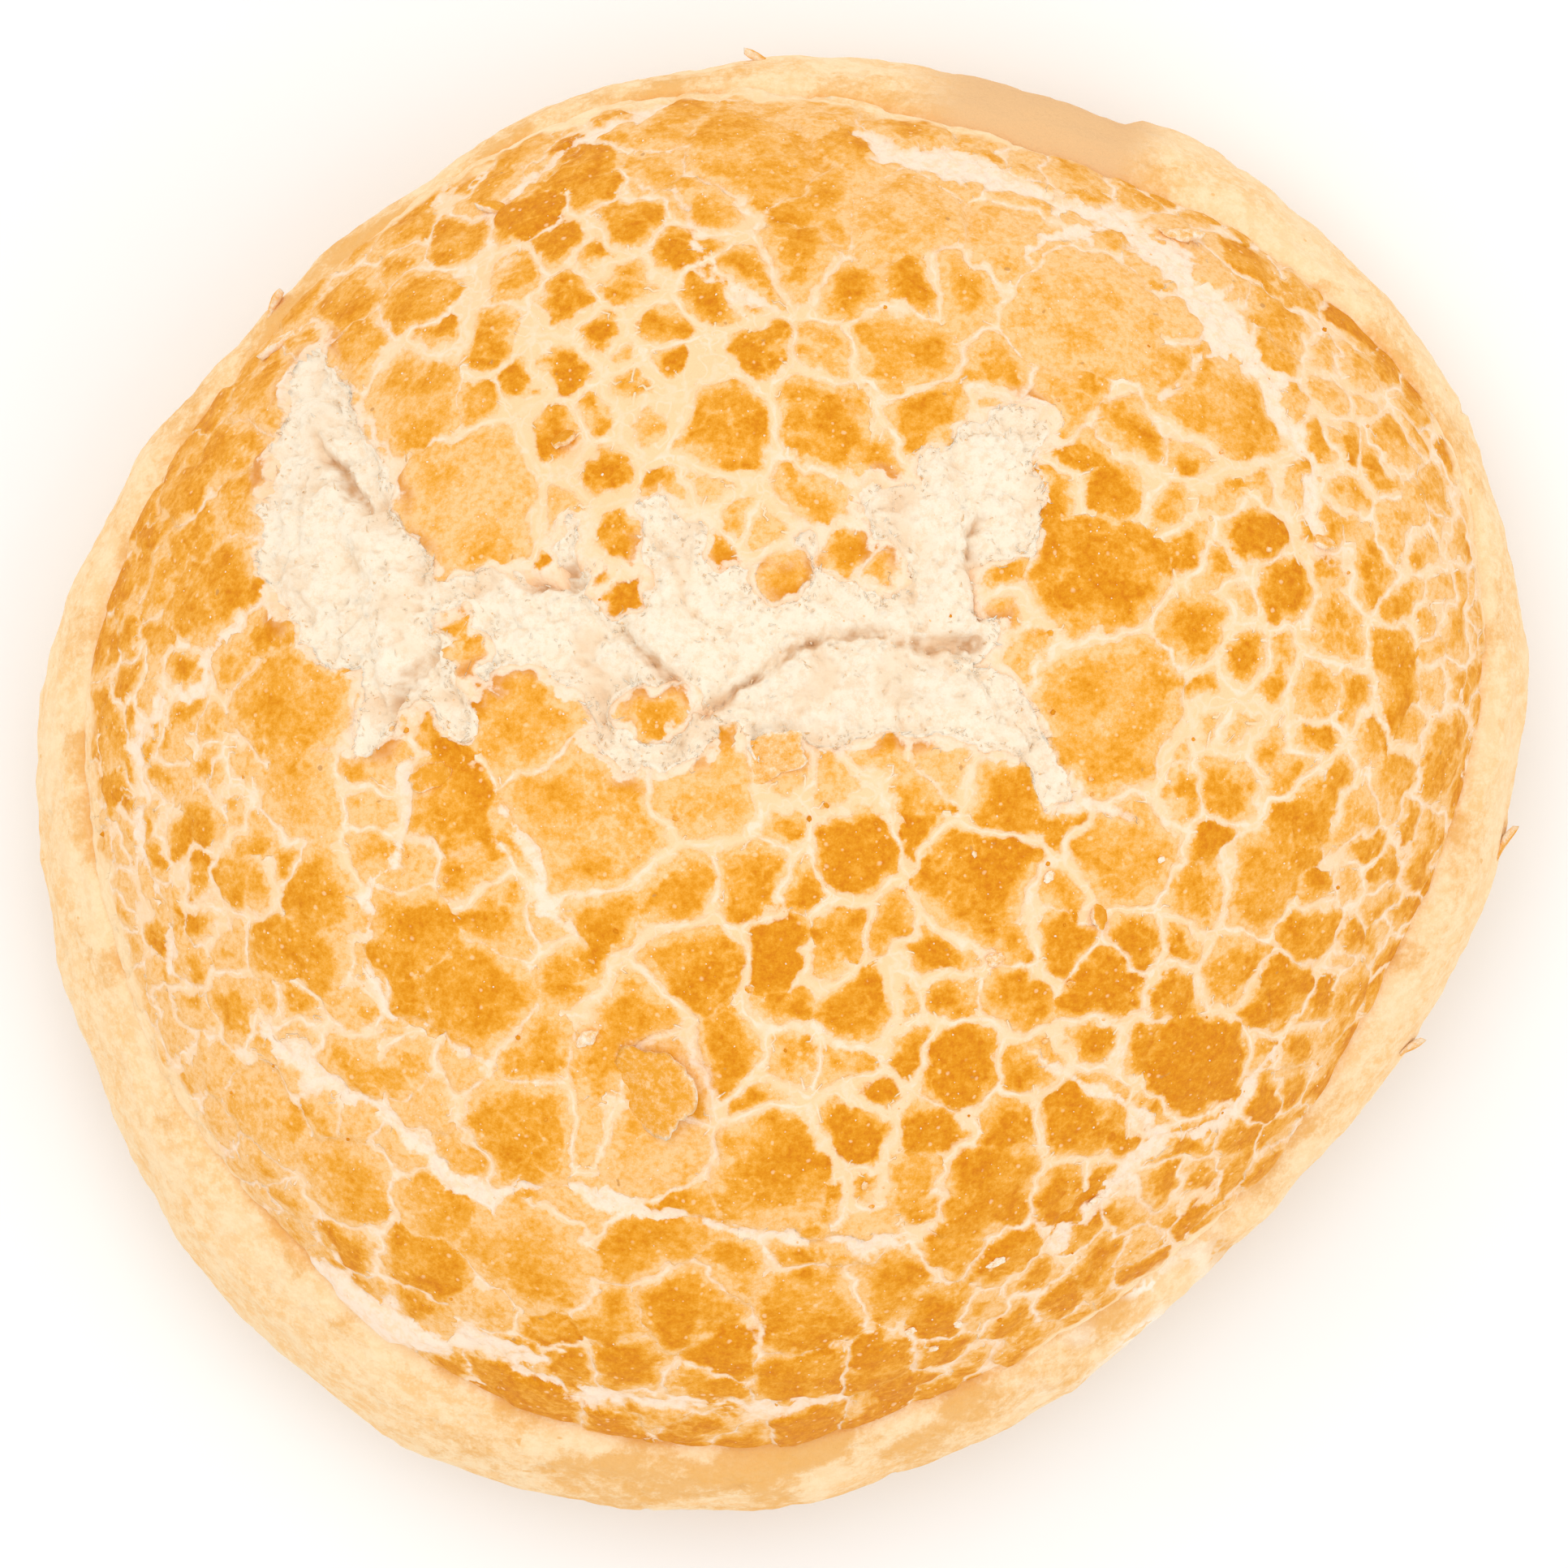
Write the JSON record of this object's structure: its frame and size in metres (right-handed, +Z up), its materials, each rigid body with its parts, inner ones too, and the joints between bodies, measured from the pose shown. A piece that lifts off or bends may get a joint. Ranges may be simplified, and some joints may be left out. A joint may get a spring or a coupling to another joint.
{
  "type": "tiger bread roll",
  "caption": "Round crusty bread roll with a cracked, mottled rice-paste crust split open on top, over a pale dough skirt with a flat underside.",
  "frame": {"origin": "middle of the roll's footprint on the surface that it stands on, at the bottom centre of its bounding box", "axes": "+Z up through the crust; +X to the right and +Y to the back as the picture, taken from above, shows the roll"},
  "size_m": [0.115, 0.112, 0.0507],
  "materials": {
    "baked_bread": "matte baked crust, golden plates over cream crumb"
  },
  "bodies": {
    "root": {"bread_roll": "baked_bread"}
  },
  "joints": []
}
